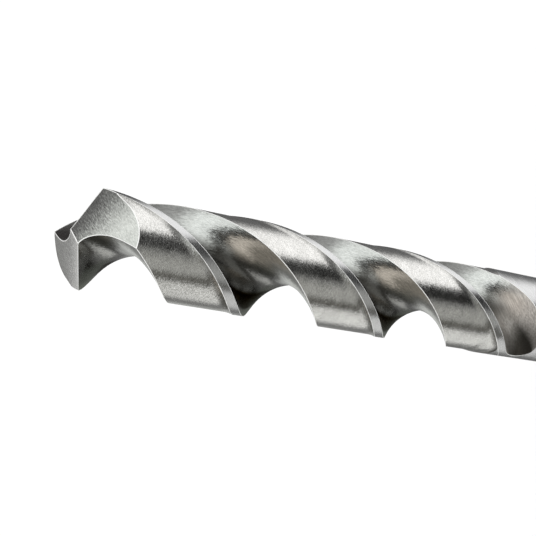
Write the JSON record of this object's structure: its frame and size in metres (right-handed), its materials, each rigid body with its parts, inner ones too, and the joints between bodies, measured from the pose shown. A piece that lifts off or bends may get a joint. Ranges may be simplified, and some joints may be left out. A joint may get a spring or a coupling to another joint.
{
  "type": "twist drill bit",
  "caption": "Straight-shank twist drill bit with right-hand helical flutes, raised margins, body clearance and a cone-ground point.",
  "frame": {"origin": "centre of the flat end of the shank", "axes": "+Z along the drill's axis from the shank to the point, +X along the cutting lips"},
  "size_m": [0.009, 0.009, 0.125],
  "materials": {
    "ground_steel": "bright ground, with fine grinding marks"
  },
  "bodies": {
    "root": {"twist_drill": "ground_steel"}
  },
  "joints": []
}
